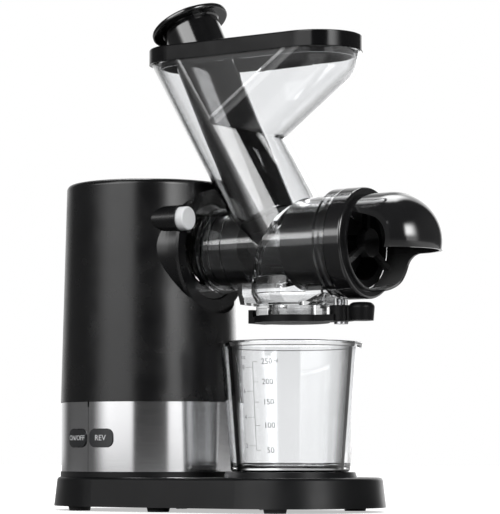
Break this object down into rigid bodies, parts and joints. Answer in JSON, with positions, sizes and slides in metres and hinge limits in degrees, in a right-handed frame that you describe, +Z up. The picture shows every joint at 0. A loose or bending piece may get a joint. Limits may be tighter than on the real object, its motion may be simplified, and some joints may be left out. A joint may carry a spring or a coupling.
{
  "type": "cold press juicer",
  "caption": "Compact horizontal cold press juicer: round motor housing on an oval base, clear screw drum with leaning hopper and pusher, hooded pulp spout, outlet lever and clear measuring cup.",
  "frame": {"origin": "on the table, below the centre of the whole machine's bounding box", "axes": "+X along the drum towards the pulp spout, +Z up, the user at the buttons stands on the -Y side"},
  "size_m": [0.2478, 0.108, 0.2908],
  "materials": {
    "charcoal_plastic": "satin moulded",
    "black_plastic": "satin gloss moulded",
    "gloss_black": "high gloss moulded",
    "inner_black": "plain moulded",
    "band_steel": "fine brushed round the band",
    "plain_steel": "bright",
    "rubber": "matt",
    "button_plastic": "satin with pale lettering",
    "grey_button": "satin",
    "board_green": "lacquered board",
    "nylon": "natural moulded",
    "bronze": "sintered",
    "silicone": "soft matt",
    "ferrite": "ground",
    "carbon": "carbon block",
    "lamination": "stacked sheet",
    "copper": "enamelled",
    "clear_plastic": "clear moulded plastic"
  },
  "bodies": {
    "housing": {"base_tray": "charcoal_plastic", "bottom_plate": "charcoal_plastic", "rubber_feet": "rubber", "base_screws": "plain_steel", "inner_frame": "charcoal_plastic", "steel_band": "band_steel", "housing_shell": "black_plastic", "cord_gland": "rubber", "switch_board": "board_green", "release_spring": "plain_steel", "gear_case": "nylon", "gear_cover": "nylon", "gear_screws": "plain_steel", "idler_pins": "plain_steel", "shaft_bushes": "bronze", "socket_seal": "silicone", "motor_can": "plain_steel", "motor_end_cap": "inner_black", "field_magnets": "ferrite", "carbon_brushes": "carbon"},
    "power_key": {"power_button": "button_plastic"},
    "reverse_key": {"reverse_button": "button_plastic"},
    "drum_release": {"release_button": "grey_button", "latch_arm": "inner_black"},
    "motor_rotor": {"rotor_shaft": "plain_steel", "rotor_core": "lamination", "rotor_windings": "copper", "commutator": "copper", "cooling_fan": "inner_black"},
    "idler_one": {"first_idler": "nylon"},
    "idler_two": {"second_idler": "nylon"},
    "output_drive": {"output_gear": "nylon", "drive_shaft": "plain_steel"},
    "drum": {"juice_drum": "clear_plastic", "hopper_rim": "gloss_black", "strainer_cage": "inner_black", "strainer_mesh": "plain_steel", "valve_pin": "plain_steel"},
    "screw": {"auger": "inner_black", "auger_seal": "silicone"},
    "spout_cap": {"end_cap": "gloss_black"},
    "outlet_lever": {"valve_lever": "gloss_black", "valve_pad": "silicone"},
    "food_pusher": {"pusher": "gloss_black"},
    "cup": {"juice_cup": "clear_plastic"}
  },
  "joints": [
    {"name": "motor_spin", "type": "hinge", "parent": "housing", "child": "motor_rotor", "pos_m": [-0.0689, 0, 0.06235], "axis": [1, 0, 0], "continuous": true},
    {"name": "idler_one_spin", "type": "hinge", "parent": "housing", "child": "idler_one", "pos_m": [-0.0689, 0, 0.08315], "axis": [1, 0, 0], "continuous": true},
    {"name": "idler_two_spin", "type": "hinge", "parent": "housing", "child": "idler_two", "pos_m": [-0.0689, 0, 0.11115], "axis": [1, 0, 0], "continuous": true},
    {"name": "output_spin", "type": "hinge", "parent": "housing", "child": "output_drive", "pos_m": [-0.0689, 0, 0.1474], "axis": [1, 0, 0], "continuous": true},
    {"name": "drum_slide", "type": "slide", "parent": "housing", "child": "drum", "axis": [1, 0, 0], "range_m": [0, 0.075]},
    {"name": "auger_spin", "type": "hinge", "parent": "drum", "child": "screw", "pos_m": [0.0311, 0, 0.1474], "axis": [1, 0, 0], "continuous": true},
    {"name": "cap_twist", "type": "hinge", "parent": "drum", "child": "spout_cap", "pos_m": [0.0761, 0, 0.1474], "axis": [1, 0, 0], "range_deg": [0, 40]},
    {"name": "lever_swing", "type": "hinge", "parent": "drum", "child": "outlet_lever", "pos_m": [0.063, 0, 0.105], "axis": [0, 0, 1], "range_deg": [0, 90]},
    {"name": "pusher_slide", "type": "slide", "parent": "drum", "child": "food_pusher", "axis": [-0.4311, 0, 0.9023], "range_m": [0, 0.11]},
    {"name": "cup_slide", "type": "slide", "parent": "housing", "child": "cup", "axis": [0, -1, 0], "range_m": [0, 0.12]},
    {"name": "release_press", "type": "slide", "parent": "housing", "child": "drum_release", "axis": [-1, 0, 0], "range_m": [0, 0.0035], "stiffness_N_per_m": 400, "springref_m": -0.003, "deforming": ["release_spring"]},
    {"name": "power_press", "type": "slide", "parent": "housing", "child": "power_key", "axis": [0.2823, 0.9593, 0], "range_m": [0, 0.002], "stiffness_N_per_m": 300, "springref_m": -0.002},
    {"name": "reverse_press", "type": "slide", "parent": "housing", "child": "reverse_key", "axis": [-0.0767, 0.9971, 0], "range_m": [0, 0.002], "stiffness_N_per_m": 300, "springref_m": -0.002}
  ],
  "couplings": [
    {"joint": "idler_one_spin", "follows": "motor_spin", "ratio": -0.3},
    {"joint": "idler_two_spin", "follows": "motor_spin", "ratio": 0.081818},
    {"joint": "output_spin", "follows": "motor_spin", "ratio": -0.021344},
    {"joint": "auger_spin", "follows": "motor_spin", "ratio": -0.021344}
  ]
}
